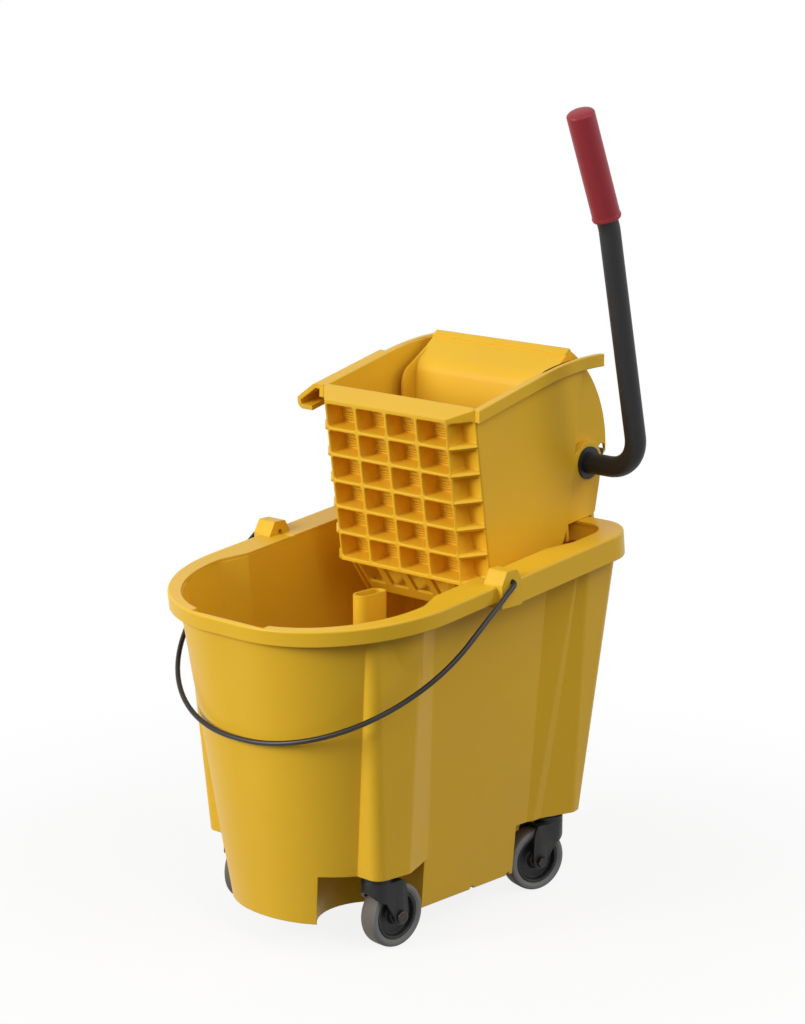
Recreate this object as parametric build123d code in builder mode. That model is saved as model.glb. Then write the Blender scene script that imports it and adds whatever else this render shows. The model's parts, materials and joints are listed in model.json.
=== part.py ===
from build123d import *
import math
import os

# Side-press mop bucket: a wheeled bucket with a wringer hooked over its rear rim.
# X runs across the bucket with the lever on +X, the pouring end is -Y, the floor is z = 0.
# Lengths along Y are measured from the middle of the rim, which lies at bucket_y.
bucket_y = -20.5

# Bucket rim: a tilted plane, higher at the wringer end
rim_height = 415.5
rim_tilt = 6.2
rim_half_width = 189.0
rim_half_length = 247.0
front_flat = 26.0
rim_rear_radius = 48.0
rim_lip = 27.5
spout_lip = 11.0
spout_half = 57.0
spout_step = 5.0
rear_lip = 20.0
rim_wall = 4.0
front_skirt = 18.0
rear_skirt = 29.0
rear_skirt_proud = 2.5
rim_round = 2.5

# Bucket body, drawn up to a level above the rim and cut by the rim's plane
wall = 4.0
base_z = 32.0
base_floor = 5.0
body_over = 44.5
side_overhang = 16.0
side_draft = 54.0
front_flare = 3.0
front_draft = 60.0
rear_overhang = 14.0
rear_draft = 33.0
base_front_flat = 4.0
base_rear_radius = 46.0
top_rear_radius = 40.0
notch_radius = 3.5
notch_depth = 14.0
notch_spacing = 64.0
notch_y = 68.0

# Casters, drawn trailing towards +X of their own swivel
wheel_radius = 38.0
tyre_width = 23.0
tyre_inner = 28.0
tyre_shoulder = 6.0
tyre_gap = 2.0
hub_width = 21.0
hub_web = 8.0
hub_boss = 11.0
hub_rim = 4.0
axle_radius = 4.0
trail = 22.0
fork_side_gap = 2.5
fork_wall = 3.5
fork_crown = 4.0
fork_collar = 7.6
fork_collar_radius = 17.5
fork_foot_radius = 10.0
hood_drop = 16.0
hood_wall = 3.0
stem_radius = 5.5
stem_length = 34.0
socket_radius = 8.0
socket_length = 30.0
socket_flange_radius = 14.0
socket_flange = 2.0
boss_wall = 4.5
swivel_gap = 0.4
press_gap = 0.05
running_fit = 0.1
bolt_head_radius = 7.5
bolt_head = 4.0
nut_size = 6.5
nut_height = 5.0
front_right_trail = 85.0
front_left_trail = 100.0
rear_right_trail = 255.0
rear_left_trail = 240.0

# Caster columns at the corners, and the wheel wells under them
front_column_inset_x = 7.0
front_column_inset_y = 71.0
rear_column_inset_x = 3.0
rear_column_inset_y = 24.0
column_floor = 10.0
column_round = 14.0
well_clearance = 8.0

# Plan of each right-hand column at its foot and at the rim, measured from its swivel
front_column_foot = [(-40, -26), (26, -26), (32, 21), (6, 87), (-40, 87)]
front_column_head = [(-40, -53), (42, -53), (50, 22), (34, 74), (-40, 74)]
rear_column_foot = [(-44, 38), (20, 38), (25, 18), (2, -54), (-44, -54)]
rear_column_head = [(-44, 60), (56, 60), (56, 2), (28, -58), (-44, -58)]

# Bay between the columns of each side, where the wall stands back below the rim
bay_depth_base = 1.0
bay_depth_top = 16.0
bay_front_y = -62.0
bay_rear_y = 128.0
bay_flare = 2.6
bay_reach = 40.0

# Baffle fin that calms the water in front of the wringer
baffle_x = 12.0
baffle_y = -24.0
baffle_width = 22.0
baffle_length = 46.0
baffle_below_rim = 33.5
baffle_wall = 3.0

# Ears and bail
ear_y = 12.0
ear_foot = 34.0
ear_crown = 17.0
ear_rise = 15.0
ear_drop = 27.0
ear_depth = 19.0
ear_proud = 8.0
bail_wire = 3.0
bail_inset = 10.0
bail_proud = 14.0
bail_slack = 34.0
bail_flat = 5.0
bail_end_bend = 6.0
bail_hang = 35.0
pivot_above_rim = 2.0

# Wringer chamber; its Y and Z are measured from the rear of the rim and the rim's height
chamber_half = 115.0
side_wall = 4.0
front_top_y = -211.0
front_top_z = 184.5
front_bottom_y = -183.0
front_bottom_z = -10.5
low_y = -137.0
low_z = -77.5
rear_low_y = -39.0
rear_low_z = 48.5
rear_top_y = -19.0
rear_top_z = 220.5
crest_y = -97.0
crest_z = 211.5
rail_end_y = 11.0
rail_end_z = 222.5
belly_y = -75.0
belly_z = -27.5
rail_drop = 15.0
rail_out = 7.0
hook_out = 46.0
hook_fall = 20.0
hook_curl = 10.0
hook_thickness = 5.5
hook_bend = 4.5

# Front grid: four columns of pockets on the flat, one on each bevelled corner
grid_bevel = 24.0
grid_depth = 29.0
grid_columns = 4
grid_rows = 6
grid_rib = 6.0
grid_skin = 4.0
corner_rib = 7.0
corner_pocket = 8.0
corner_fin = 2.5
pocket_round = 4.0
drain_slot_width = 15.0
drain_slot_height = 5.0
cap_rise = 12.0
cap_band = 9.0
grid_foot = 10.0
lug_spacing = 122.0
lug_width = 8.0
lug_height = 9.0
lug_depth = 5.0

# Drain floor
floor_thickness = 4.0
floor_slots = 6
floor_bar = 11.0
floor_end_y = -101.0
floor_end_z = -43.5
floor_margin = 14.0

# Press plate, hinged at its foot, and the crank that drives it
hinge_y = -84.0
hinge_z = -3.5
hinge_pin_radius = 4.0
hinge_barrel_radius = 9.0
plate_clearance = 10.0
plate_side = 4.0
plate_face = 5.0
plate_border = 24.0
plate_face_y = -68.0
plate_face_z = 184.5
plate_bend = 25.0
plate_lean = 47.0
plate_band = 10.0
plate_band_rise = 2.5
plate_crest_y = -25.0
plate_crest_z = 227.5
plate_arc_y = 30.0
plate_arc_z = 162.5
plate_heel_y = 42.0
plate_ribs = 5
plate_rib_pitch = 36.0
plate_rib_width = 3.0
plate_rib_height = 2.0
plate_rib_start = 0.2
plate_rib_length = 110.0
stiffeners = 3
stiffener_depth = 16.0
stiffener_width = 3.0
shaft_y = -3.0
shaft_z = 92.5
shaft_clearance = 4.0
crank_radius = 34.0
crank_start = 12.0
crank_thickness = 8.0
crank_gap = 5.0
crank_hub_radius = 19.0
crank_end_radius = 10.0
crank_pin_radius = 5.0
lever_travel = 85.0
slot_clearance = 0.8

# Lever
tube_radius = 12.5
tube_wall = 2.0
tube_bend = 44.0
lever_outside = 3.0
lever_knee_y = -66.0
lever_knee_z = 381.5
lever_top_y = -121.0
lever_top_z = 514.5
grip_length = 134.0
grip_radius = 16.5
grip_end = 5.0
shaft_end = 9.0

# Rear bracket: a saddle over the rear rim with two cheeks for the shaft
cheek_thickness = 8.0
cheek_boss_radius = 25.0
cheek_front_y = -55.0
cheek_rear_y = 19.0
saddle_inset = 22.0
saddle_clearance = 3.5
saddle_thickness = 5.0
saddle_lip = 20.0
seat_gap = 0.3
bush_wall = 3.5
bush_flange = 2.0
spring_wire = 2.5
spring_turns = 5
spring_pitch = 4.0
spring_x = -55.0
spring_gap = 0.5

# Sizes that follow from these
rim_front = -rim_half_length
rim_rear = rim_half_length
body_top_z = rim_height + body_over
top_half_width = rim_half_width - side_overhang
base_half_width = top_half_width - side_draft
top_front = rim_front - front_flare
base_front = top_front + front_draft
top_rear = rim_rear - rear_overhang
base_rear = top_rear - rear_draft
rim_front_radius = rim_half_width - front_flat
top_front_radius = top_half_width - front_flat
base_front_radius = base_half_width - base_front_flat
fork_crown_z = 2 * wheel_radius + tyre_gap + fork_crown
fork_gap = tyre_width / 2 + fork_side_gap
column_z = fork_crown_z + fork_collar + swivel_gap + socket_flange
stem_top_z = column_z + stem_length
socket_top_z = column_z + socket_length
well_radius = trail + wheel_radius + well_clearance
front_swivel_x = base_half_width - front_column_inset_x
front_swivel_y = base_front + front_column_inset_y
rear_swivel_x = base_half_width - rear_column_inset_x
rear_swivel_y = base_rear - rear_column_inset_y
ear_inner = rim_half_width - ear_depth
ear_outer = rim_half_width + ear_proud
bail_end = ear_inner + bail_inset
bail_half_width = rim_half_width + bail_proud
bail_corner = bail_half_width - bail_flat
bail_reach = ear_y - rim_front + bail_slack
outer_half = chamber_half + side_wall
grid_flat_half = outer_half - grid_bevel
plate_half = chamber_half - plate_clearance
crank_x = plate_half - plate_side - crank_gap - crank_thickness
cheek_inner = chamber_half - cheek_thickness
lever_x = rim_half_width + lever_outside
shaft_left_x = -chamber_half - shaft_end
saddle_front_y = -rear_lip - saddle_inset
saddle_rear_y = rear_skirt_proud + saddle_clearance + saddle_thickness
seat_y = bucket_y + rim_rear


def level(z):
    """Horizontal plane at height z with its origin under the middle of the rim."""
    return Plane(origin=(0, bucket_y, z))


def upright(x):
    """Lengthwise plane at x whose sketch axes are Y from the middle of the rim and Z."""
    return Plane(origin=(x, bucket_y, 0), x_dir=(0, 1, 0), z_dir=(1, 0, 0))


def hung(x):
    """Lengthwise plane at x whose sketch axes are Y from the rear of the rim and Z from the rim's height."""
    return Plane(origin=(x, seat_y, rim_height), x_dir=(0, 1, 0), z_dir=(1, 0, 0))


def outline(half_width, front, rear, front_radius, rear_radius):
    """Rectangle with wide front corners and tighter rear ones, drawn in the open sketch."""
    with Locations((0, (front + rear) / 2)):
        Rectangle(2 * half_width, rear - front)
    fillet(vertices().group_by(Axis.Y)[0], front_radius)
    fillet(vertices().group_by(Axis.Y)[-1], rear_radius)


def bay(share, side):
    """Trapezoid between the columns of one side, at a share of the body's height, in the open sketch."""
    half = base_half_width - bay_depth_base + share * (side_draft + bay_depth_base - bay_depth_top)
    outside = half + bay_reach
    Polygon((side * half, bay_front_y), (side * half, bay_rear_y),
            (side * outside, bay_rear_y + bay_flare * bay_reach),
            (side * outside, bay_front_y - bay_flare * bay_reach), align=None)


def column(plan, spot):
    """Rounded plan of a column round its swivel, mirrored on the left side, in the open sketch."""
    Polygon(*[(spot[0] + math.copysign(1, spot[0]) * x, spot[1] + y) for x, y in plan], align=None)
    fillet(vertices(), column_round)


def turned(point, centre, degrees):
    """Point of a Y-Z sketch turned about a centre of that sketch."""
    angle = math.radians(degrees)
    dy = point[0] - centre[0]
    dz = point[1] - centre[1]
    return (centre[0] + dy * math.cos(angle) - dz * math.sin(angle),
            centre[1] + dy * math.sin(angle) + dz * math.cos(angle))


def rim_z(y):
    """Height of the rim's top at a distance y from the middle of the rim."""
    return rim_height + y * math.tan(math.radians(rim_tilt))


def seat_z(y):
    """Height of the rim's top at a distance y from the rear of the rim, above the rim's height."""
    return rim_z(rim_rear + y) - rim_height


rim_plane = Plane(
    origin=(0, bucket_y, rim_height),
    x_dir=(1, 0, 0),
    z_dir=(0, -math.sin(math.radians(rim_tilt)), math.cos(math.radians(rim_tilt))),
)
rim_axis = Axis(rim_plane.origin, rim_plane.z_dir)
front_spots = [(front_swivel_x, front_swivel_y), (-front_swivel_x, front_swivel_y)]
rear_spots = [(rear_swivel_x, rear_swivel_y), (-rear_swivel_x, rear_swivel_y)]
swivel_spots = front_spots + rear_spots
column_plans = 2 * [(front_column_foot, front_column_head)] + 2 * [(rear_column_foot, rear_column_head)]
bail_z = rim_z(ear_y) + pivot_above_rim

# Hollow of the bucket: the body's inside, the columns' insides, less the wheel wells
with BuildPart() as hollow:
    with BuildSketch(level(base_z + base_floor)):
        outline(base_half_width - wall, base_front + wall, base_rear - wall,
                base_front_radius - wall, base_rear_radius - wall)
    with BuildSketch(level(body_top_z)):
        outline(top_half_width - wall, top_front + wall, top_rear - wall,
                top_front_radius - wall, top_rear_radius - wall)
    loft()
    for side in (1, -1):
        with BuildSketch(level(base_z)):
            bay(0, side)
            offset(amount=wall, kind=Kind.INTERSECTION)
        with BuildSketch(level(body_top_z)):
            bay(1, side)
            offset(amount=wall, kind=Kind.INTERSECTION)
        loft(mode=Mode.SUBTRACT)
    for spot, (foot, head) in zip(swivel_spots, column_plans):
        with BuildSketch(level(column_z)):
            column(foot, spot)
            offset(amount=-wall)
        with BuildSketch(level(rim_height)):
            column(head, spot)
            offset(amount=-wall)
        loft()
    with BuildSketch(level(0)):
        with Locations(*swivel_spots):
            Circle(well_radius + wall)
    extrude(amount=column_z + column_floor, mode=Mode.SUBTRACT)

# Rolled rim: a flat lip with a skirt, deeper behind the ears
with BuildPart() as rim_band:
    with BuildSketch(rim_plane):
        outline(rim_half_width, rim_front, rim_rear, rim_front_radius, rim_rear_radius)
    extrude(amount=-front_skirt)
    fillet(rim_band.faces().sort_by(rim_axis)[-1].edges(), rim_round)
    with BuildSketch(rim_plane.offset(-rim_wall)):
        outline(rim_half_width - rim_wall, rim_front + rim_wall, rim_rear - rim_wall,
                rim_front_radius - rim_wall, rim_rear_radius - rim_wall)
    extrude(amount=-front_skirt, mode=Mode.SUBTRACT)

with BuildPart() as rear_band:
    with BuildSketch(rim_plane):
        outline(rim_half_width + rear_skirt_proud, rim_front, rim_rear + rear_skirt_proud,
                rim_front_radius, rim_rear_radius)
    extrude(amount=-rear_skirt)
    fillet(rear_band.faces().sort_by(rim_axis)[-1].edges(), rim_round)
    with BuildSketch(rim_plane.offset(-rim_wall)):
        outline(rim_half_width + rear_skirt_proud - rim_wall, rim_front + rim_wall,
                rim_rear + rear_skirt_proud - rim_wall,
                rim_front_radius - rim_wall, rim_rear_radius - rim_wall)
    extrude(amount=-rear_skirt, mode=Mode.SUBTRACT)
    split(bisect_by=Plane(origin=(0, bucket_y + ear_y, 0), z_dir=(0, 1, 0)), keep=Keep.TOP)

# Lips that close the rim over the bays
with BuildSketch() as rim_bays:
    for side in (1, -1):
        bay((rim_height - base_z) / (body_top_z - base_z), side)
    offset(amount=wall, kind=Kind.INTERSECTION)

with BuildPart() as bucket:
    with BuildSketch(level(base_z)):
        outline(base_half_width, base_front, base_rear, base_front_radius, base_rear_radius)
    with BuildSketch(level(body_top_z)):
        outline(top_half_width, top_front, top_rear, top_front_radius, top_rear_radius)
    loft()
    for side in (1, -1):
        with BuildSketch(level(base_z)):
            bay(0, side)
        with BuildSketch(level(body_top_z)):
            bay(1, side)
        loft(mode=Mode.SUBTRACT)
    for spot, (foot, head) in zip(swivel_spots, column_plans):
        with BuildSketch(level(column_z)):
            column(foot, spot)
        with BuildSketch(level(rim_height)):
            column(head, spot)
        loft()
    with BuildSketch(level(0)):
        with Locations(*swivel_spots):
            Circle(well_radius)
    extrude(amount=column_z, mode=Mode.SUBTRACT)
    split(bisect_by=rim_plane.offset(-rim_wall / 2), keep=Keep.BOTTOM)
    add(hollow.part, mode=Mode.SUBTRACT)
    add(rim_band.part)
    add(rear_band.part)
    # Ears that carry the bail
    for side in (1, -1):
        with BuildSketch(upright(side * ear_inner)):
            with BuildLine():
                Polyline((ear_y - ear_foot / 2, rim_z(ear_y) - ear_drop),
                         (ear_y + ear_foot / 2, rim_z(ear_y) - ear_drop),
                         (ear_y + ear_foot / 2, rim_z(ear_y)),
                         (ear_y + ear_crown / 2, rim_z(ear_y) + ear_rise),
                         (ear_y - ear_crown / 2, rim_z(ear_y) + ear_rise),
                         (ear_y - ear_foot / 2, rim_z(ear_y)),
                         close=True)
            make_face()
            fillet(vertices().group_by(Axis.Y)[-1], rim_round)
        extrude(amount=side * (ear_outer - ear_inner))
    # Mouth of the rim, with a narrow pouring lip and wide lips over the bays
    with BuildSketch(rim_plane):
        outline(rim_half_width - rim_lip, rim_front + spout_lip, rim_rear - rear_lip,
                rim_front_radius - rim_lip, rim_rear_radius - rear_lip)
        add(rim_bays.sketch, mode=Mode.SUBTRACT)
    extrude(amount=-rim_wall, mode=Mode.SUBTRACT)
    with BuildSketch(rim_plane):
        with Locations((0, rim_front + spout_lip)):
            Rectangle(2 * spout_half, 2 * spout_step)
    extrude(amount=-rim_wall, mode=Mode.SUBTRACT)
    with BuildSketch(upright(-ear_outer)):
        with Locations((ear_y, bail_z)):
            Circle(bail_wire + running_fit)
    extrude(amount=2 * ear_outer, mode=Mode.SUBTRACT)
    # Drip notches in the edges of the base
    for side in (1, -1):
        with BuildSketch(upright(side * (base_half_width - notch_depth))):
            with Locations((notch_y - notch_spacing / 2, base_z), (notch_y + notch_spacing / 2, base_z)):
                Circle(notch_radius)
        extrude(amount=2 * side * notch_depth, mode=Mode.SUBTRACT)
    # Bosses for the caster sockets
    with BuildSketch(level(column_z)):
        with Locations(*swivel_spots):
            Circle(socket_radius + boss_wall)
    extrude(amount=stem_top_z + boss_wall - column_z)
    with BuildSketch(level(column_z)):
        with Locations(*swivel_spots):
            Circle(socket_radius + press_gap)
    extrude(amount=stem_top_z + swivel_gap - column_z, mode=Mode.SUBTRACT)
    # Hollow baffle fin
    with BuildSketch(level(base_z)):
        with Locations((baffle_x, baffle_y)):
            SlotOverall(baffle_length, baffle_width, rotation=90)
    extrude(amount=rim_height - baffle_below_rim - base_z)
    with BuildSketch(level(base_z + base_floor)):
        with Locations((baffle_x, baffle_y)):
            SlotOverall(baffle_length - 2 * baffle_wall, baffle_width - 2 * baffle_wall, rotation=90)
    extrude(amount=rim_height, mode=Mode.SUBTRACT)

# Bail: wire bent in its own hanging plane, ends turned into the ears
bail_plane = Plane(
    origin=(0, bucket_y + ear_y, bail_z),
    x_dir=(1, 0, 0),
    z_dir=(0, math.sin(math.radians(bail_hang)), -math.cos(math.radians(bail_hang))),
)
with BuildPart() as bail:
    with BuildLine(bail_plane) as bail_path:
        ear_end = Line((bail_end, 0), (bail_half_width - bail_end_bend, 0))
        ear_bend = JernArc(ear_end @ 1, ear_end % 1, bail_end_bend, 90)
        arm = Line(ear_bend @ 1, (bail_half_width, bail_reach - bail_corner))
        corner = JernArc(arm @ 1, arm % 1, bail_corner, 90)
        Line(corner @ 1, (0, bail_reach))
        mirror(bail_path.line, about=Plane.YZ)
    with BuildSketch(Plane(origin=ear_end @ 0, z_dir=ear_end % 0)):
        Circle(bail_wire)
    sweep()

# Caster pieces, drawn once about a swivel at the origin
axle_z = wheel_radius
with BuildPart() as fork:
    with BuildSketch(Plane.XY.offset(fork_crown_z - fork_crown)):
        with BuildLine():
            Polyline((-fork_collar_radius, -fork_gap - fork_wall), (trail, -fork_gap - fork_wall),
                     (trail, fork_gap + fork_wall), (-fork_collar_radius, fork_gap + fork_wall), close=True)
        make_face()
        fillet(vertices(), fork_foot_radius / 2)
    extrude(amount=fork_crown)
    with BuildSketch(Plane.XY.offset(fork_crown_z)):
        Circle(fork_collar_radius)
    extrude(amount=column_z - socket_flange - swivel_gap - fork_crown_z, taper=4)
    with BuildSketch(Plane.XY.offset(fork_crown_z)):
        Circle(fork_collar_radius)
        Circle(fork_collar_radius - hood_wall, mode=Mode.SUBTRACT)
        with Locations((fork_collar_radius, 0)):
            Rectangle(2 * fork_collar_radius, 2 * fork_collar_radius, mode=Mode.SUBTRACT)
    extrude(amount=-hood_drop)
    with BuildSketch(Plane.XY.offset(fork_crown_z)):
        Circle(stem_radius)
    extrude(amount=stem_top_z - fork_crown_z)
    with BuildSketch(Plane.XZ.offset(-fork_gap - fork_wall)):
        with BuildLine():
            Polyline((-fork_collar_radius, fork_crown_z), (trail, fork_crown_z),
                     (trail + fork_foot_radius, axle_z), (trail - fork_foot_radius, axle_z),
                     (-fork_collar_radius + fork_crown, fork_crown_z - 2 * fork_crown), close=True)
        make_face()
        with Locations((trail, axle_z)):
            Circle(fork_foot_radius)
    extrude(amount=fork_wall)
    mirror(about=Plane.XZ)
    with BuildSketch(Plane.XZ.offset(-fork_gap - fork_wall)):
        with Locations((trail, axle_z)):
            Circle(axle_radius + press_gap)
    extrude(amount=2 * (fork_gap + fork_wall), mode=Mode.SUBTRACT)

with BuildPart() as socket:
    with BuildSketch(Plane.XY.offset(column_z - socket_flange)):
        Circle(socket_flange_radius)
    extrude(amount=socket_flange)
    with BuildSketch(Plane.XY.offset(column_z)):
        Circle(socket_radius)
    extrude(amount=socket_top_z - column_z)
    with BuildSketch(Plane.XY.offset(column_z - socket_flange)):
        Circle(stem_radius + running_fit)
    extrude(amount=socket_top_z, mode=Mode.SUBTRACT)

with BuildPart() as tyre:
    with BuildSketch(Plane.XZ.offset(-tyre_width / 2)):
        with Locations((trail, axle_z)):
            Circle(wheel_radius)
    extrude(amount=tyre_width)
    fillet(tyre.edges().filter_by(GeomType.CIRCLE), tyre_shoulder)
    with BuildSketch(Plane.XZ.offset(-tyre_width / 2)):
        with Locations((trail, axle_z)):
            Circle(tyre_inner)
    extrude(amount=tyre_width, mode=Mode.SUBTRACT)

with BuildPart() as hub:
    with BuildSketch(Plane.XZ.offset(-hub_width / 2)):
        with Locations((trail, axle_z)):
            Circle(tyre_inner)
    extrude(amount=hub_width)
    for face_y, depth in ((-hub_width / 2, 1), (hub_width / 2, -1)):
        with BuildSketch(Plane.XZ.offset(face_y)):
            with Locations((trail, axle_z)):
                Circle(tyre_inner - hub_rim)
                Circle(hub_boss, mode=Mode.SUBTRACT)
        extrude(amount=depth * (hub_width - hub_web) / 2, mode=Mode.SUBTRACT)
    with BuildSketch(Plane.XZ.offset(-hub_width / 2)):
        with Locations((trail, axle_z)):
            Circle(axle_radius + running_fit)
    extrude(amount=hub_width, mode=Mode.SUBTRACT)

fork_outer = fork_gap + fork_wall
with BuildPart() as axle_bolt:
    with BuildSketch(Plane.XZ.offset(-fork_outer - nut_height)):
        with Locations((trail, axle_z)):
            Circle(axle_radius)
    extrude(amount=2 * fork_outer + nut_height)
    with BuildSketch(Plane.XZ.offset(fork_outer)):
        with Locations((trail, axle_z)):
            Circle(bolt_head_radius)
    extrude(amount=bolt_head)
    fillet(axle_bolt.edges().sort_by(Axis.Y)[0], bolt_head / 2)

with BuildPart() as axle_nut:
    with BuildSketch(Plane.XZ.offset(-fork_outer - nut_height)):
        with Locations((trail, axle_z)):
            RegularPolygon(nut_size, 6)
            Circle(axle_radius + press_gap, mode=Mode.SUBTRACT)
    extrude(amount=nut_height)

# Side walls of the wringer: shield-shaped, with a rail along the sloped top; the right one
with BuildPart() as right_wall:
    with BuildSketch(hung(chamber_half)):
        with BuildLine():
            front = Line((front_bottom_y, front_bottom_z), (front_top_y, front_top_z))
            slope = Line(front @ 1, (crest_y, crest_z))
            top = TangentArc(slope @ 1, (rear_top_y, rear_top_z), tangent=slope % 1)
            rear = Line(top @ 1, (rear_low_y, rear_low_z))
            belly = TangentArc(rear @ 1, (belly_y, belly_z), tangent=rear % 1)
            foot = Line(belly @ 1, (low_y, low_z))
            Line(foot @ 1, front @ 0)
        make_face()
    extrude(amount=side_wall)
    with BuildSketch(hung(chamber_half + side_wall)):
        with BuildLine():
            high = Line((front_top_y, front_top_z), (crest_y, crest_z))
            high_end = TangentArc(high @ 1, (rail_end_y, rail_end_z), tangent=high % 1)
            end = Line(high_end @ 1, (rail_end_y, rail_end_z - rail_drop))
            low = Line((front_top_y, front_top_z - rail_drop), (crest_y, crest_z - rail_drop))
            TangentArc(low @ 1, end @ 1, tangent=low % 1)
            Line(low @ 0, high @ 0)
        make_face()
    extrude(amount=rail_out)
    with BuildSketch(hung(chamber_half)):
        with Locations((hinge_y, hinge_z)):
            Circle(hinge_pin_radius + press_gap)
    extrude(amount=side_wall, mode=Mode.SUBTRACT)

# Left wall: the same wall with a J-shaped hook along the slope
slope_length = math.hypot(crest_y - front_top_y, crest_z - front_top_z)
hook_plane = Plane(
    origin=(-chamber_half - side_wall, seat_y + front_top_y, rim_height + front_top_z - hook_thickness / 2),
    x_dir=(-1, 0, 0),
    z_dir=(0, crest_y - front_top_y, crest_z - front_top_z),
)
with BuildPart() as left_wall:
    mirror(right_wall.part, about=Plane.YZ)
    with BuildSketch(hook_plane):
        with BuildLine():
            FilletPolyline((0, 0), (hook_out / 3, 0), (hook_out, -hook_fall),
                           (hook_out, -hook_fall - hook_curl),
                           (hook_out - 2 * hook_curl, -hook_fall - hook_curl), radius=hook_bend)
        trace(line_width=hook_thickness)
    extrude(amount=slope_length)

# Front grid wall: a leaning block with bevelled corners, pocketed from outside
grid_length = math.hypot(front_top_y - front_bottom_y, front_top_z - front_bottom_z)
grid_up = Vector(0, front_top_y - front_bottom_y, front_top_z - front_bottom_z).normalized()
grid_out = Vector(0, -grid_up.Z, grid_up.Y)
grid_front = grid_depth - grid_skin
grid_origin = Vector(0, seat_y + front_bottom_y, rim_height + front_bottom_z)
grid_face = Plane(origin=grid_origin + grid_out * grid_front, x_dir=(1, 0, 0), z_dir=grid_out)
corner_face = Plane(
    origin=grid_origin + grid_out * (grid_front / 2) + Vector(outer_half - grid_bevel / 2, 0, 0),
    x_dir=Vector(grid_bevel, 0, 0) - grid_out * grid_front,
    z_dir=Vector(grid_front, 0, 0) + grid_out * grid_bevel,
)
left_corner_face = Plane(
    origin=(-corner_face.origin.X, corner_face.origin.Y, corner_face.origin.Z),
    x_dir=(corner_face.x_dir.X, -corner_face.x_dir.Y, -corner_face.x_dir.Z),
    z_dir=(-corner_face.z_dir.X, corner_face.z_dir.Y, corner_face.z_dir.Z),
)
corner_width = math.hypot(grid_bevel, grid_front)
cap_plane = Plane(origin=(0, seat_y + front_top_y, rim_height + front_top_z), x_dir=(1, 0, 0),
                  z_dir=(0, -cap_rise, grid_front))
pocket_pitch_x = 2 * grid_flat_half / grid_columns
pocket_pitch_y = (grid_length - cap_rise - cap_band / 2) / grid_rows
pocket_middle = pocket_pitch_y * grid_rows / 2
pocket_width = pocket_pitch_x - grid_rib
pocket_height = pocket_pitch_y - grid_rib
with BuildPart() as front_grid:
    with BuildSketch(Plane(origin=grid_origin - grid_up * grid_foot, x_dir=(1, 0, 0), z_dir=grid_up)):
        with BuildLine():
            Polyline((-outer_half, 0), (-grid_flat_half, -grid_front), (grid_flat_half, -grid_front),
                     (outer_half, 0), (chamber_half, 0), (chamber_half, grid_skin),
                     (-chamber_half, grid_skin), (-chamber_half, 0), close=True)
        make_face()
    extrude(amount=grid_length + 2 * grid_foot)
    split(bisect_by=cap_plane, keep=Keep.BOTTOM)
    with BuildSketch(grid_face):
        with Locations((0, pocket_middle)):
            with GridLocations(pocket_pitch_x, pocket_pitch_y, grid_columns, grid_rows):
                RectangleRounded(pocket_width, pocket_height, pocket_round)
    extrude(amount=-grid_front, mode=Mode.SUBTRACT)
    with BuildSketch(grid_face.offset(-grid_front)):
        with Locations((pocket_width / 4, pocket_middle + pocket_height / 4)):
            with GridLocations(pocket_pitch_x, pocket_pitch_y, grid_columns, grid_rows):
                Rectangle(drain_slot_width, drain_slot_height)
    extrude(amount=-grid_skin, mode=Mode.SUBTRACT)
    for corner in (corner_face, left_corner_face):
        with BuildSketch(corner):
            with Locations((0, pocket_middle)):
                with GridLocations(1, pocket_pitch_y, 1, grid_rows):
                    RectangleRounded(corner_width - 2 * corner_rib, pocket_height, pocket_round)
        extrude(amount=-corner_pocket, mode=Mode.SUBTRACT)
        with BuildSketch(corner):
            with Locations((0, pocket_middle)):
                with GridLocations(1, pocket_pitch_y, 1, grid_rows + 1):
                    SlotOverall(corner_width - grid_rib, grid_rib)
        extrude(amount=corner_fin)
    with BuildSketch(grid_face.offset(-grid_front)):
        with Locations((0, -grid_foot)):
            with GridLocations(lug_spacing, 1, 2, 1):
                Rectangle(lug_width, 2 * lug_height)
    extrude(amount=lug_depth)

# Drain floor: a V of bars under the chamber
floor_run = math.hypot(low_y - front_bottom_y, front_bottom_z - low_z)
floor_face = Plane(
    origin=(0, seat_y + front_bottom_y, rim_height + front_bottom_z),
    x_dir=(1, 0, 0),
    z_dir=(0, front_bottom_z - low_z, low_y - front_bottom_y),
)
slot_pitch = 2 * chamber_half / floor_slots
with BuildPart() as drain_floor:
    with BuildSketch(hung(-chamber_half)):
        with BuildLine():
            Polyline((front_bottom_y + grid_skin + floor_thickness, front_bottom_z - grid_foot / 2),
                     (low_y + grid_skin, low_z + floor_thickness),
                     (floor_end_y, floor_end_z))
        trace(line_width=floor_thickness)
    extrude(amount=2 * chamber_half)
    with BuildSketch(floor_face):
        with Locations((0, floor_run / 2)):
            with GridLocations(slot_pitch, 1, floor_slots, 1):
                RectangleRounded(slot_pitch - floor_bar, floor_run - 2 * floor_margin, pocket_round)
    extrude(amount=4 * floor_thickness, mode=Mode.SUBTRACT)

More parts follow.
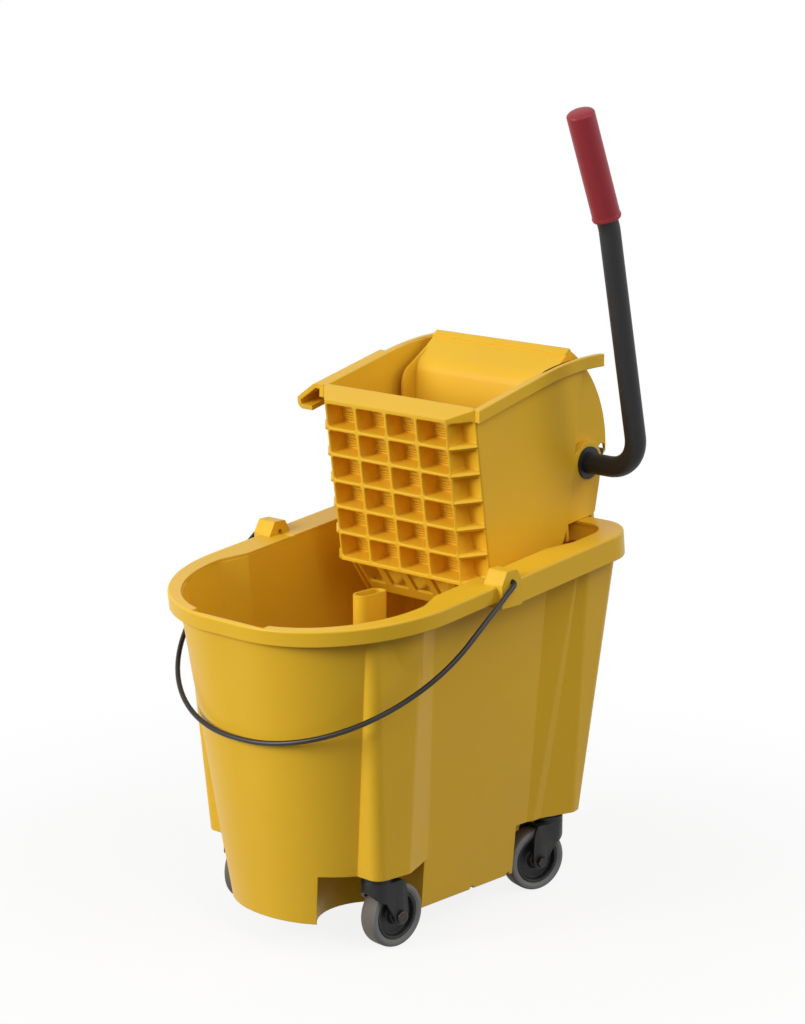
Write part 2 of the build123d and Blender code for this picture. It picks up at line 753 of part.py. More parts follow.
# Rear bracket: saddle on the rear rim and a cheek on each side
seat_plane = rim_plane.offset(seat_gap)
with BuildPart() as rear_bracket:
    with BuildSketch(seat_plane):
        with Locations((0, rim_rear + (saddle_front_y + saddle_rear_y) / 2)):
            Rectangle(2 * chamber_half, saddle_rear_y - saddle_front_y)
    extrude(amount=saddle_thickness)
    with BuildSketch(seat_plane):
        with Locations((0, rim_rear + saddle_front_y + saddle_thickness / 2),
                       (0, rim_rear + saddle_rear_y - saddle_thickness / 2)):
            Rectangle(2 * chamber_half, saddle_thickness)
    extrude(amount=-saddle_lip)
    for start in (cheek_inner, -chamber_half):
        with BuildSketch(hung(start)):
            with BuildLine():
                Polyline((cheek_front_y, shaft_z),
                         (saddle_front_y, seat_z(saddle_front_y) + saddle_thickness / 2),
                         (saddle_rear_y, seat_z(saddle_rear_y) + saddle_thickness / 2),
                         (cheek_rear_y, shaft_z - cheek_boss_radius),
                         (shaft_y + cheek_boss_radius, shaft_z), (shaft_y, shaft_z + cheek_boss_radius),
                         close=True)
            make_face()
            with Locations((shaft_y, shaft_z)):
                Circle(cheek_boss_radius)
                Circle(tube_radius + bush_wall + press_gap, mode=Mode.SUBTRACT)
        extrude(amount=chamber_half - cheek_inner)

with BuildPart() as shaft_bush:
    with BuildSketch(hung(cheek_inner)):
        with Locations((shaft_y, shaft_z)):
            Circle(tube_radius + bush_wall)
    extrude(amount=chamber_half - cheek_inner)
    with BuildSketch(hung(chamber_half)):
        with Locations((shaft_y, shaft_z)):
            Circle(tube_radius + 2 * bush_wall)
    extrude(amount=bush_flange)
    with BuildSketch(hung(cheek_inner)):
        with Locations((shaft_y, shaft_z)):
            Circle(tube_radius + running_fit)
    extrude(amount=chamber_half, mode=Mode.SUBTRACT)

with BuildPart() as hinge_pin:
    with BuildSketch(hung(-outer_half - side_wall)):
        with Locations((hinge_y, hinge_z)):
            Circle(hinge_pin_radius)
    extrude(amount=2 * (outer_half + side_wall))

# Press plate: a curved face with side borders that reach back as the drive flanges
hinge = (hinge_y, hinge_z)
shaft = (shaft_y, shaft_z)
pin = turned((shaft_y + crank_radius, shaft_z), shaft, crank_start)
pin_end = turned(pin, shaft, lever_travel)
pin_angle = math.degrees(math.atan2(pin[1] - hinge_z, pin[0] - hinge_y))
pin_end_angle = math.degrees(math.atan2(pin_end[1] - hinge_z, pin_end[0] - hinge_y))
plate_travel = pin_end_angle - pin_angle
pin_far = math.hypot(shaft_y - hinge_y, shaft_z - hinge_z) + crank_radius
pin_near = math.hypot(pin_end[0] - hinge_y, pin_end[1] - hinge_z)
slot_reach = (pin_far + pin_near) / 2
slot_middle = turned((hinge_y + slot_reach, hinge_z), hinge, pin_angle)
slot_width = 2 * (crank_pin_radius + slot_clearance)
slot_length = pin_far - pin_near + slot_width
with BuildPart() as press_plate:
    with BuildSketch(hung(-plate_half)):
        with BuildLine():
            face = Line(hinge, (plate_face_y, plate_face_z))
            bend = JernArc(face @ 1, face % 1, plate_bend, -plate_lean)
            slope = Line(bend @ 1, (plate_crest_y, plate_crest_z))
        trace(line_width=plate_face)
    extrude(amount=2 * plate_half)
    with BuildSketch(hung(-plate_half)):
        with BuildLine():
            PolarLine(slope @ 1, plate_band, direction=slope % 1 * -1)
        trace(line_width=plate_face + 2 * plate_band_rise)
    extrude(amount=2 * plate_half)
    for start in (-plate_half, plate_half - plate_side):
        with BuildSketch(hung(start)):
            with BuildLine():
                border = Line((hinge_y - hinge_barrel_radius, hinge_z + plate_border),
                              (plate_face_y - plate_border, plate_face_z - plate_border / 2))
                brow = JernArc(border @ 1, border % 1, plate_bend, -plate_lean)
                shoulder = Line(brow @ 1, (plate_crest_y, plate_crest_z))
                back = ThreePointArc(shoulder @ 1, (plate_arc_y, plate_arc_z), (plate_heel_y, pin[1]))
                heel = Line(back @ 1, (pin[0], pin[1] - slot_width))
                sill = Line(heel @ 1, (shaft_y, shaft_z))
                knee = Line(sill @ 1, (shaft_y - 2 * tube_radius, shaft_z - tube_radius))
                Polyline(knee @ 1, (hinge_y + hinge_barrel_radius, hinge_z), border @ 0)
            make_face()
            with Locations(*[turned(shaft, hinge, -plate_travel * share) for share in (0, 0.33, 0.67, 1)]):
                Circle(tube_radius + shaft_clearance, mode=Mode.SUBTRACT)
            with Locations(Location((slot_middle[0], slot_middle[1], 0), (0, 0, pin_angle))):
                SlotOverall(slot_length, slot_width, mode=Mode.SUBTRACT)
        extrude(amount=plate_side)
    for rib in range(plate_ribs):
        with BuildSketch(hung((rib - (plate_ribs - 1) / 2) * plate_rib_pitch - plate_rib_width / 2)):
            with BuildLine():
                PolarLine(face @ plate_rib_start, plate_rib_length, direction=face % 0)
            trace(line_width=plate_face + 2 * plate_rib_height)
        extrude(amount=plate_rib_width)
    for stiffener in range(stiffeners):
        with BuildSketch(hung(-plate_half)):
            with BuildLine():
                PolarLine(face @ ((stiffener + 1) / stiffeners), stiffener_depth,
                          direction=(face % 0).rotate(Axis.Z, -90))
            trace(line_width=stiffener_width)
        extrude(amount=2 * plate_half)
    with BuildSketch(hung(-plate_half)):
        with Locations(hinge):
            Circle(hinge_barrel_radius)
    extrude(amount=2 * plate_half)
    with BuildSketch(hung(-plate_half)):
        with Locations(hinge):
            Circle(hinge_pin_radius + running_fit)
    extrude(amount=2 * plate_half, mode=Mode.SUBTRACT)

with BuildPart() as crank:
    with BuildSketch(hung(crank_x)):
        with Locations(shaft):
            Circle(crank_hub_radius)
        with Locations(pin):
            Circle(crank_end_radius)
        make_hull()
        with Locations(shaft):
            Circle(tube_radius + press_gap, mode=Mode.SUBTRACT)
    extrude(amount=crank_thickness)
    with BuildSketch(hung(crank_x)):
        with Locations(pin):
            Circle(crank_pin_radius)
    extrude(amount=cheek_inner - seat_gap - crank_x)

# Lever: one bent tube whose lower run is the shaft, with a sleeve grip
with BuildPart() as lever_tube:
    with BuildLine() as lever_path:
        FilletPolyline((shaft_left_x, seat_y + shaft_y, rim_height + shaft_z),
                       (lever_x, seat_y + shaft_y, rim_height + shaft_z),
                       (lever_x, seat_y + lever_knee_y, rim_height + lever_knee_z),
                       (lever_x, seat_y + lever_top_y, rim_height + lever_top_z), radius=tube_bend)
    with BuildSketch(hung(shaft_left_x)):
        with Locations(shaft):
            Circle(tube_radius)
            Circle(tube_radius - tube_wall, mode=Mode.SUBTRACT)
    sweep()

grip_axis = Vector(0, lever_knee_y - lever_top_y, lever_knee_z - lever_top_z).normalized()
grip_top = Vector(lever_x, seat_y + lever_top_y, rim_height + lever_top_z) - grip_axis * grip_end
with BuildPart() as lever_grip:
    with BuildSketch(Plane(origin=grip_top, x_dir=(1, 0, 0), z_dir=grip_axis)):
        Circle(grip_radius)
    extrude(amount=grip_length)
    fillet(lever_grip.edges().sort_by(Axis.Z)[-1], grip_end)
    with BuildSketch(Plane(origin=grip_top + grip_axis * grip_end, x_dir=(1, 0, 0), z_dir=grip_axis)):
        Circle(tube_radius + press_gap)
    extrude(amount=grip_length, mode=Mode.SUBTRACT)

spring_radius = tube_radius + spring_gap + spring_wire / 2
with BuildPart() as return_spring:
    with BuildLine():
        coil = Helix(pitch=spring_pitch, height=spring_pitch * spring_turns, radius=spring_radius,
                     center=(spring_x, seat_y + shaft_y, rim_height + shaft_z), direction=(1, 0, 0))
    with BuildSketch(Plane(origin=coil @ 0, z_dir=coil % 0)):
        Rectangle(spring_wire, spring_wire)
    sweep(is_frenet=True)

# Pieces that sit in place
pieces = {
    "bucket": bucket.part,
    "bail": bail.part,
    "front_grid": front_grid.part,
    "right_side_wall": right_wall.part,
    "left_side_wall": left_wall.part,
    "drain_floor": drain_floor.part,
    "rear_bracket": rear_bracket.part,
    "shaft_bush_right": shaft_bush.part,
    "shaft_bush_left": mirror(shaft_bush.part, about=Plane.YZ),
    "hinge_pin": hinge_pin.part,
    "return_spring": return_spring.part,
    "press_plate": press_plate.part,
    "crank_right": crank.part,
    "crank_left": mirror(crank.part, about=Plane.YZ),
    "lever_tube": lever_tube.part,
    "lever_grip": lever_grip.part,
}

# Four casters, each turned to the way it trails
casters = {
    "front_right": (front_spots[0], front_right_trail),
    "front_left": (front_spots[1], front_left_trail),
    "rear_right": (rear_spots[0], rear_right_trail),
    "rear_left": (rear_spots[1], rear_left_trail),
}
caster_pieces = {"fork": fork, "socket": socket, "tyre": tyre, "hub": hub,
                 "axle_bolt": axle_bolt, "axle_nut": axle_nut}
for corner_name, (spot, angle) in casters.items():
    place = Location((spot[0], bucket_y + spot[1], 0), (0, 0, angle))
    for piece_name, piece in caster_pieces.items():
        pieces[f"{piece_name}_{corner_name}"] = piece.part.moved(place)

os.makedirs("parts", exist_ok=True)
for name, part in pieces.items():
    part.label = name
    export_step(part, f"parts/{name}.step")
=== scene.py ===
# %% [markdown]
# # A wheeled mop bucket with a side-press wringer
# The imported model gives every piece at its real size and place. This lesson gives them their looks: rounded
# mould edges, wheels, grid and forks as smooth surfaces, and a procedural finish on each.

# %% Load the frame
import json
import math

import bmesh
import bpy
import numpy as np
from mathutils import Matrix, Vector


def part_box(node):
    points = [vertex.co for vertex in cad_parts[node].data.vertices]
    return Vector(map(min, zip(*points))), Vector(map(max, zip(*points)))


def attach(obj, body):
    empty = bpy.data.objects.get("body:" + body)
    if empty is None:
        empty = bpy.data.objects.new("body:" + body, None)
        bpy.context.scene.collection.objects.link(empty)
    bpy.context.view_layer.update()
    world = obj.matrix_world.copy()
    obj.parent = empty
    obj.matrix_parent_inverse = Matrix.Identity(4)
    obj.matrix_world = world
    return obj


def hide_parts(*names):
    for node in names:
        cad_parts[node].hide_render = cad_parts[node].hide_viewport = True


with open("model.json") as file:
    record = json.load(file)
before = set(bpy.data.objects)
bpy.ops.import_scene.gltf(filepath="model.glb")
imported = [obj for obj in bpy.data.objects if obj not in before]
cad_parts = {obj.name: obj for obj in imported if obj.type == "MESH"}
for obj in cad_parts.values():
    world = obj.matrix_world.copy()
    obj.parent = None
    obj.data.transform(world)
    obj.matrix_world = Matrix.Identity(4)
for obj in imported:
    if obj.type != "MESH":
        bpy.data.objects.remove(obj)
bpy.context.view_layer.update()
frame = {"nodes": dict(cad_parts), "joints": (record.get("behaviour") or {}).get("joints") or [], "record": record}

nodes = frame["nodes"]
joints = {joint["name"]: joint for joint in frame["joints"]}
corners = [name.removeprefix("swivel_") for name in joints if name.startswith("swivel_")]

# %% [markdown]
# ## Camera, light and floor
# The photograph looks down a little on the right front corner from about three metres away with a long
# lens. A camera is placed by a position, a yaw and a pitch, so the same three things are written here.

# %% Camera
image_height = 1024
focal_pixels = 2868
sensor_size = 36.0
camera_place = (2.215, -2.3655, 1.194)
camera_yaw = math.radians(42.83)
camera_pitch = math.radians(-12.64)

camera_data = bpy.data.cameras.new("camera")
camera_data.sensor_width = sensor_size
camera_data.lens = focal_pixels * sensor_size / image_height
camera = bpy.data.objects.new("camera", camera_data)
camera.location = camera_place
camera.rotation_euler = (math.pi / 2 + camera_pitch, 0, camera_yaw)
bpy.context.scene.collection.objects.link(camera)
bpy.context.scene.camera = camera
bpy.context.scene.view_settings.view_transform = "Standard"
print("lens", round(camera_data.lens, 1), "mm")

# %% [markdown]
# The studio is one large soft lamp at the front left, a weaker one behind at the right for the edges, and
# one high at the right for the inside. An area lamp shines along its own -Z axis, so two angles turn that
# axis towards the middle of the object.

# %% Lamps
def softbox(name, place, target, size, watts):
    """An area lamp at place whose -Z axis points at target."""
    data = bpy.data.lights.new(name, "AREA")
    data.shape = "DISK"
    data.size = size
    data.energy = watts
    lamp = bpy.data.objects.new(name, data)
    direction = np.subtract(target, place)
    tilt = math.atan2(math.hypot(direction[0], direction[1]), -direction[2])
    heading = math.atan2(direction[1], direction[0]) - math.pi / 2
    lamp.location = place
    lamp.rotation_euler = (tilt, 0, heading)
    bpy.context.scene.collection.objects.link(lamp)


object_middle = (0, 0, 0.4)
studio_lamps = {
    "key": ((-1.0, -2.6, 1.35), 1.5, 60),
    "edge": ((1.9, 1.2, 1.6), 1.2, 13),
    "top": ((1.5, -0.5, 2.0), 1.4, 9),
}
for name, (place, size, watts) in studio_lamps.items():
    softbox(name, place, object_middle, size, watts)
print("lamps", list(studio_lamps))

# %% [markdown]
# The backdrop is plain white, but a world as bright as that would wash out the colours. So the world is
# white where the camera or a glossy surface sees it, and dimmer where it only lights the object.

# %% World
def seen_directly(tree):
    """A value of 1 for rays from the camera or off a glossy surface, and 0 for all others."""
    path = tree.nodes.new("ShaderNodeLightPath")
    either = tree.nodes.new("ShaderNodeMath")
    either.operation = "MAXIMUM"
    tree.links.new(path.outputs["Is Camera Ray"], either.inputs[0])
    tree.links.new(path.outputs["Is Glossy Ray"], either.inputs[1])
    return either.outputs["Value"]


world_light = 0.39
world = bpy.data.worlds.new("studio")
bpy.context.scene.world = world
world.use_nodes = True
world_tree = world.node_tree
sky = world_tree.nodes["Background"]
sky.inputs["Color"].default_value = (1, 1, 1, 1)
white_or_lit = world_tree.nodes.new("ShaderNodeMapRange")
white_or_lit.inputs["To Min"].default_value = world_light
world_tree.links.new(seen_directly(world_tree), white_or_lit.inputs["Value"])
world_tree.links.new(white_or_lit.outputs["Result"], sky.inputs["Strength"])
print("world light", world_light)

# %% [markdown]
# The floor is nearly white. Close to the object it is partly a paint that takes a faint shadow, and further
# out it turns into a plain white glow, so no horizon shows. The distance from the floor's middle mixes the
# two.

# %% Floor
floor_half = 40.0
floor_corners = [(x * floor_half, y * floor_half, 0) for x, y in ((-1, -1), (1, -1), (1, 1), (-1, 1))]
floor_mesh = bpy.data.meshes.new("floor")
floor_mesh.from_pydata(floor_corners, [], [(0, 1, 2, 3)])
floor = bpy.data.objects.new("floor", floor_mesh)
bpy.context.scene.collection.objects.link(floor)
print("floor", 2 * floor_half, "m across")

# %% [markdown]
# The mix is smooth: even close by the glow has the larger share, and from one metre out it is all there is.

# %% Floor finish
shadow_reach, glow_reach, least_glow = 0.35, 1.0, 0.86
floor_finish = bpy.data.materials.new("pale_floor")
floor_finish.use_nodes = True
floor_tree = floor_finish.node_tree
paint = floor_tree.nodes["Principled BSDF"]
paint.inputs["Base Color"].default_value = (0.9, 0.9, 0.89, 1)
paint.inputs["Roughness"].default_value = 0.9
glow = floor_tree.nodes.new("ShaderNodeEmission")
floor_place = floor_tree.nodes.new("ShaderNodeTexCoord")
distance = floor_tree.nodes.new("ShaderNodeVectorMath")
distance.operation = "LENGTH"
fade = floor_tree.nodes.new("ShaderNodeMapRange")
fade.inputs["From Min"].default_value = shadow_reach
fade.inputs["From Max"].default_value = glow_reach
fade.inputs["To Min"].default_value = least_glow
fade.interpolation_type = "SMOOTHSTEP"
paint_or_glow = floor_tree.nodes.new("ShaderNodeMixShader")
floor_tree.links.new(seen_directly(floor_tree), glow.inputs["Strength"])
floor_tree.links.new(floor_place.outputs["Object"], distance.inputs[0])
floor_tree.links.new(distance.outputs["Value"], fade.inputs["Value"])
floor_tree.links.new(fade.outputs["Result"], paint_or_glow.inputs[0])
floor_tree.links.new(paint.outputs["BSDF"], paint_or_glow.inputs[1])
floor_tree.links.new(glow.outputs["Emission"], paint_or_glow.inputs[2])
floor_tree.links.new(paint_or_glow.outputs["Shader"], floor_tree.nodes["Material Output"].inputs["Surface"])
floor_mesh.materials.append(floor_finish)
print("floor finish has", len(floor_tree.nodes), "nodes")

# %% [markdown]
# ## Finishes
# Every piece is moulded plastic, rubber or coated steel. Close up, moulded plastic has a fine grain from
# the tool and a slow change of tone, and it picks up a little dust low down. Both effects serve several
# finishes, so each is a node group, built once and placed in each material with its own values.

# %% Grain group
def node_group(name, inputs, outputs):
    """An empty shader node group with number sockets of those names and defaults."""
    group = bpy.data.node_groups.new(name, "ShaderNodeTree")
    for socket, value in inputs.items():
        entry = group.interface.new_socket(socket, in_out="INPUT", socket_type="NodeSocketFloat")
        entry.default_value = value
    for socket in outputs:
        group.interface.new_socket(socket, in_out="OUTPUT", socket_type="NodeSocketFloat")
    return group, group.nodes.new("NodeGroupInput"), group.nodes.new("NodeGroupOutput")


def noise(tree, scale, detail, roughness=0.5):
    """A noise texture on the piece's own coordinates."""
    place = tree.nodes.new("ShaderNodeTexCoord")
    texture = tree.nodes.new("ShaderNodeTexNoise")
    texture.inputs["Scale"].default_value = scale
    texture.inputs["Detail"].default_value = detail
    texture.inputs["Roughness"].default_value = roughness
    tree.links.new(place.outputs["Object"], texture.inputs["Vector"])
    return texture


plastic_grain = 700.0
grain_group, grain_in, grain_out = node_group("moulded_grain", {"Size": plastic_grain}, ["Grain", "Mottle"])
fine = noise(grain_group, plastic_grain, 2.0)
slow = noise(grain_group, 7.0, 3.0)
grain_group.links.new(grain_in.outputs["Size"], fine.inputs["Scale"])
grain_group.links.new(fine.outputs["Fac"], grain_out.inputs["Grain"])
grain_group.links.new(slow.outputs["Fac"], grain_out.inputs["Mottle"])
print("grain group has", len(grain_group.nodes), "nodes")

# %% [markdown]
# Dust and scuffs gather near the floor. The mask is a broken-up noise, kept above a threshold and faded out
# between two heights, so one group serves the wheels, the forks and the foot of the bucket.

# %% Scuff group
scuff_group, scuff_in, scuff_out = node_group("handling_scuffs", {"Low": 0.0, "High": 0.3}, ["Mask"])
patch = noise(scuff_group, 26.0, 6.0, 0.7)
broken = scuff_group.nodes.new("ShaderNodeMapRange")
broken.inputs["From Min"].default_value = 0.48
broken.inputs["From Max"].default_value = 0.72
height = scuff_group.nodes.new("ShaderNodeSeparateXYZ")
height_from = scuff_group.nodes.new("ShaderNodeTexCoord")
faded = scuff_group.nodes.new("ShaderNodeMapRange")
faded.inputs["To Min"].default_value = 1.0
faded.inputs["To Max"].default_value = 0.0
both = scuff_group.nodes.new("ShaderNodeMath")
both.operation = "MULTIPLY"
scuff_group.links.new(patch.outputs["Fac"], broken.inputs["Value"])
scuff_group.links.new(height_from.outputs["Object"], height.inputs["Vector"])
scuff_group.links.new(height.outputs["Z"], faded.inputs["Value"])
scuff_group.links.new(scuff_in.outputs["Low"], faded.inputs["From Min"])
scuff_group.links.new(scuff_in.outputs["High"], faded.inputs["From Max"])
scuff_group.links.new(broken.outputs["Result"], both.inputs[0])
scuff_group.links.new(faded.outputs["Result"], both.inputs[1])
scuff_group.links.new(both.outputs["Value"], scuff_out.inputs["Mask"])
print("groups", [group.name for group in bpy.data.node_groups])

# %% [markdown]
# A material is then a few steps: place a group, mix two colours, carry a value from one range to another.
# Each step is a short function, so that a finish can be read from top to bottom.

# %% Finish steps
def placed(tree, group, **values):
    """A group node with those values on its inputs."""
    node = tree.nodes.new("ShaderNodeGroup")
    node.node_tree = group
    for socket, value in values.items():
        node.inputs[socket].default_value = value
    return node


def mixed(tree, factor, low, high):
    """A colour between low and high; each is a colour or the socket that carries one."""
    mix = tree.nodes.new("ShaderNodeMix")
    mix.data_type = "RGBA"
    tree.links.new(factor, mix.inputs["Factor"])
    for socket, value in ((mix.inputs[6], low), (mix.inputs[7], high)):
        if isinstance(value, tuple):
            socket.default_value = (*value, 1)
        else:
            tree.links.new(value, socket)
    return mix.outputs[2]


def spread(tree, value, low, high, start=0.3, end=0.7):
    """The value's range start to end carried to low to high."""
    node = tree.nodes.new("ShaderNodeMapRange")
    for socket, number in (("From Min", start), ("From Max", end), ("To Min", low), ("To Max", high)):
        node.inputs[socket].default_value = number
    tree.links.new(value, node.inputs["Value"])
    return node.outputs["Result"]


# %% [markdown]
# One function makes all the finishes. The slow noise moves the colour between two tones and the roughness
# between two values, the fine noise is a bump of a few hundredths of a millimetre, and the scuff mask takes
# the colour towards dust. The corners of most CAD nodes are sharp where the mould's are not, so a finish
# may also have a Bevel node, which bends the shading at each edge as a small radius would.

# %% Moulded finish
dust_colour, dust_low, dust_high = (0.3, 0.28, 0.25), 0.02, 0.24
rough_swing = 0.05


def moulded_finish(name, tone, deep, rough, grain=plastic_grain, depth=3e-5, dusty=0.0, metal=0.0, edge=0.0,
                   gloss=0.3):
    """A material with its tone, roughness and bump from the grain group and its dust from the scuff group.
    Where edge is given, the shading rounds each edge to that radius."""
    material = bpy.data.materials.new(name)
    material.use_nodes = True
    tree = material.node_tree
    shader = tree.nodes["Principled BSDF"]
    shader.inputs["Metallic"].default_value = metal
    shader.inputs["Specular IOR Level"].default_value = gloss
    texture = placed(tree, grain_group, Size=grain)
    mottle = texture.outputs["Mottle"]
    scuff = placed(tree, scuff_group, Low=dust_low, High=dust_high)
    tones = mixed(tree, spread(tree, mottle, 0, 1), deep, tone)
    mask = spread(tree, scuff.outputs["Mask"], 0, dusty, 0, 1)
    tree.links.new(mixed(tree, mask, tones, dust_colour), shader.inputs["Base Color"])
    roughness = spread(tree, mottle, rough - rough_swing, rough + rough_swing)
    tree.links.new(roughness, shader.inputs["Roughness"])
    bump = tree.nodes.new("ShaderNodeBump")
    bump.inputs["Distance"].default_value = depth
    tree.links.new(texture.outputs["Grain"], bump.inputs["Height"])
    tree.links.new(bump.outputs["Normal"], shader.inputs["Normal"])
    if edge:
        soft_edge = tree.nodes.new("ShaderNodeBevel")
        soft_edge.inputs["Radius"].default_value = edge
        tree.links.new(soft_edge.outputs["Normal"], bump.inputs["Normal"])
    return material


# %% [markdown]
# The bucket and the wringer are one bright yellow, the forks and hubs black, the lever powder-coated, the
# bail a dark drawn wire and the grip red vinyl. Each finish differs only in its tones, its roughness, the
# size and depth of its grain, and how much dust it takes.

# %% Plain finishes
finishes = {
    "yellow_plastic": moulded_finish("yellow_plastic", (0.9, 0.535, 0.026), (0.87, 0.505, 0.022), 0.4,
                                     dusty=0.05, edge=0.0014),
    "black_plastic": moulded_finish("black_plastic", (0.02, 0.02, 0.021), (0.013, 0.013, 0.014), 0.42,
                                    dusty=0.12, edge=0.001),
    "charcoal_plastic": moulded_finish("charcoal_plastic", (0.026, 0.026, 0.028), (0.019, 0.019, 0.02), 0.45),
    "charcoal_metal": moulded_finish("powder_coat", (0.024, 0.024, 0.026), (0.018, 0.018, 0.02), 0.5,
                                     grain=1500.0, depth=6e-5),
    "dark_wire": moulded_finish("dark_wire", (0.055, 0.05, 0.046), (0.03, 0.027, 0.025), 0.34,
                                grain=300.0, depth=2e-5, metal=0.8, gloss=0.5),
    "red_grip": moulded_finish("red_vinyl", (0.36, 0.03, 0.041), (0.31, 0.025, 0.034), 0.4, grain=900.0),
    "zinc_steel": moulded_finish("zinc_steel", (0.5, 0.5, 0.49), (0.36, 0.36, 0.36), 0.34,
                                 grain=500.0, depth=2e-5, metal=1.0, gloss=0.5),
}
print("finishes", sorted(finishes))

# %% [markdown]
# The tyre is one grey rubber, but its tread is browner and duller from rolling and its side is paler. The
# tyre is made below with a UV map whose second number runs round its section, so the finish can tell the
# two apart without knowing which way the wheel is turned.

# %% Tyre finish
tread_colour = (0.17, 0.15, 0.125)
tyre_finish = moulded_finish("grey_tyre", (0.25, 0.25, 0.25), (0.21, 0.21, 0.21), 0.6,
                             grain=500.0, depth=8e-5, dusty=0.35)
tyre_tree = tyre_finish.node_tree
tyre_shader = tyre_tree.nodes["Principled BSDF"]
side_colour = tyre_shader.inputs["Base Color"].links[0].from_socket
tyre_uv = tyre_tree.nodes.new("ShaderNodeUVMap")
uv_numbers = tyre_tree.nodes.new("ShaderNodeSeparateXYZ")
round_section = tyre_tree.nodes.new("ShaderNodeMath")
round_section.operation = "MULTIPLY"
round_section.inputs[1].default_value = 2 * math.pi
outwards = tyre_tree.nodes.new("ShaderNodeMath")
outwards.operation = "COSINE"
tyre_tree.links.new(tyre_uv.outputs["UV"], uv_numbers.inputs["Vector"])
tyre_tree.links.new(uv_numbers.outputs["Y"], round_section.inputs[0])
tyre_tree.links.new(round_section.outputs["Value"], outwards.inputs[0])
tread = spread(tyre_tree, outwards.outputs["Value"], 0, 1, 0.55, 0.8)
tyre_tree.links.new(mixed(tyre_tree, tread, side_colour, tread_colour), tyre_shader.inputs["Base Color"])
finishes["grey_tyre"] = tyre_finish
print("tyre finish has", len(tyre_tree.nodes), "nodes")

# %% [markdown]
# ## Finishes on the CAD nodes
# The record names a material slot for each node, and the finishes are named after those slots, so one short
# loop dresses the whole model. The axle bolts and nuts are blackened, so they look like the bail's dark
# wire. Pieces that are made anew below take the same finishes.

# %% Dress the nodes
slots = {part["node"]: part["material_slot"] for part in frame["record"]["subparts"]}
for name, node in nodes.items():
    node.data.materials.clear()
    node.data.materials.append(finishes["dark_wire" if name.startswith("axle") else slots[name]])
print({finish: list(slots.values()).count(finish) for finish in finishes})

# %% [markdown]
# ## New pieces
# Some nodes are shown by a new piece with a finer shape. Every new piece is put in the scene in the same
# way: it takes its finish, rides on a body and hides the nodes it stands for. One function does all three,
# so no piece is left behind when a joint moves.

# %% Show a piece
bodies = frame["record"]["behaviour"]["bodies"]
body_of = {node: body for body, members in bodies.items() for node in members}


def show(piece, body, finish, *stood_for):
    """Puts a piece in the scene with its finish, riding on a body and standing for the nodes named."""
    piece.data.materials.clear()
    piece.data.materials.append(finishes[finish])
    bpy.context.scene.collection.objects.link(piece)
    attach(piece, body)
    if stood_for:
        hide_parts(*stood_for)
    return piece


# %% [markdown]
# ## Rounded mould edges
# No edge of a moulded piece is sharp: the tool leaves a radius of about a millimetre, and that radius is
# what catches the light. On most nodes the Bevel node in the finish is enough. The right side wall, the
# press plate and the rear bracket get the radius as geometry. A CAD node's own mesh stays as it is, so each
# of the three is copied, its loose triangles are merged into whole faces where they lie within half a
# degree of each other, and a Bevel modifier rounds the edges that are sharper than 38 degrees. A Weighted
# Normal modifier then lets each large face keep its flat shading.

# %% Rounded copies
flat_angle, edge_angle = math.radians(0.5), math.radians(38)


def rounded(node, radius):
    """A copy of a node with its triangles merged into faces and its sharp edges rounded."""
    mesh = nodes[node].data.copy()
    shell = bmesh.new()
    shell.from_mesh(mesh)
    bmesh.ops.remove_doubles(shell, verts=shell.verts, dist=1e-5)
    bmesh.ops.dissolve_limit(shell, angle_limit=flat_angle, verts=shell.verts, edges=shell.edges)
    shell.to_mesh(mesh)
    shell.free()
    mesh.shade_smooth()
    piece = bpy.data.objects.new(f"{node}_moulded", mesh)
    bevel = piece.modifiers.new("mould_radius", "BEVEL")
    bevel.width = radius
    bevel.segments = 2
    bevel.limit_method = "ANGLE"
    bevel.angle_limit = edge_angle
    bevel.use_clamp_overlap = False
    bevel.loop_slide = False
    flat = piece.modifiers.new("flat_faces", "WEIGHTED_NORMAL")
    flat.mode = "FACE_AREA"
    flat.weight = 100
    return show(piece, body_of[node], slots[node], node)


edge_radii = {"right_side_wall": 0.001, "press_plate": 0.0009, "rear_bracket": 0.0009}
for node, radius in edge_radii.items():
    piece = rounded(node, radius)
    print(piece.name, len(piece.data.polygons), "faces before rounding")

# %% [markdown]
# ## Turned pieces
# A tyre, a hub and a grip are all a section turned round an axis. The section is a run of points, each a
# distance from the axis and a distance along it, and the surface is one array of points: steps round the
# axis by points of the section. Each wheel's centre and axis come from its own rolling joint.

# %% Surfaces from arrays
def grid_piece(name, points):
    """A closed surface from a grid of points that meets itself both ways, with a quad between each four.
    The UV map holds the two grid numbers, each from 0 to 1, and the quads are turned to face outwards."""
    rows, columns = points.shape[:2]
    index = np.arange(rows * columns).reshape(rows, columns)
    quad = np.array([(0, 0), (1, 0), (1, 1), (0, 1)])
    quads = np.stack([np.roll(index, (-i, -j), (0, 1)) for i, j in quad], -1).reshape(-1, 4)
    cells = np.stack(np.meshgrid(np.arange(rows), np.arange(columns), indexing="ij"), -1).reshape(-1, 1, 2)
    uv = (cells + quad) / (rows, columns)
    flat = points.reshape(-1, 3)
    first, second, third = (flat[quads[:, k]] for k in (0, 1, 2))
    if np.sum(first * np.cross(second, third)) < 0:
        quads, uv = quads[:, ::-1], uv[:, ::-1]
    mesh = bpy.data.meshes.new(name)
    mesh.from_pydata(flat.tolist(), [], quads.tolist())
    mesh.uv_layers.new(name="UVMap").data.foreach_set("uv", uv.ravel())
    shell = bmesh.new()
    shell.from_mesh(mesh)
    bmesh.ops.remove_doubles(shell, verts=shell.verts, dist=1e-7)
    shell.to_mesh(mesh)
    shell.free()
    mesh.shade_smooth()
    return bpy.data.objects.new(name, mesh)


